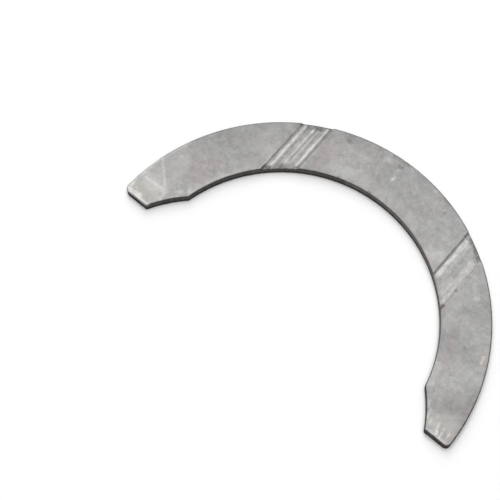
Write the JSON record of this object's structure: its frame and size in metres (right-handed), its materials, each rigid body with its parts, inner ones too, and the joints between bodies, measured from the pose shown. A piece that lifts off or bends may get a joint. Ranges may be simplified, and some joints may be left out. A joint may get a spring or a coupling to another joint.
{
  "type": "thrust washer",
  "caption": "Flat half ring thrust washer with oil grooves across one face and ends relieved on the bore side.",
  "frame": {"origin": "under the middle of the washer's box, on the plane of the back face; the shaft's axis stands 19.5 mm from it along -Y", "axes": "+Z through the thickness, out of the grooved thrust face; +X from end to end across the pair's parting line; +Y along the line of symmetry, towards the middle of the half ring"},
  "size_m": [0.078, 0.039, 0.0024],
  "materials": {
    "lined_steel": "dull mottled grey, dark blanked edge"
  },
  "bodies": {
    "root": {"thrust_washer": "lined_steel"}
  },
  "joints": []
}
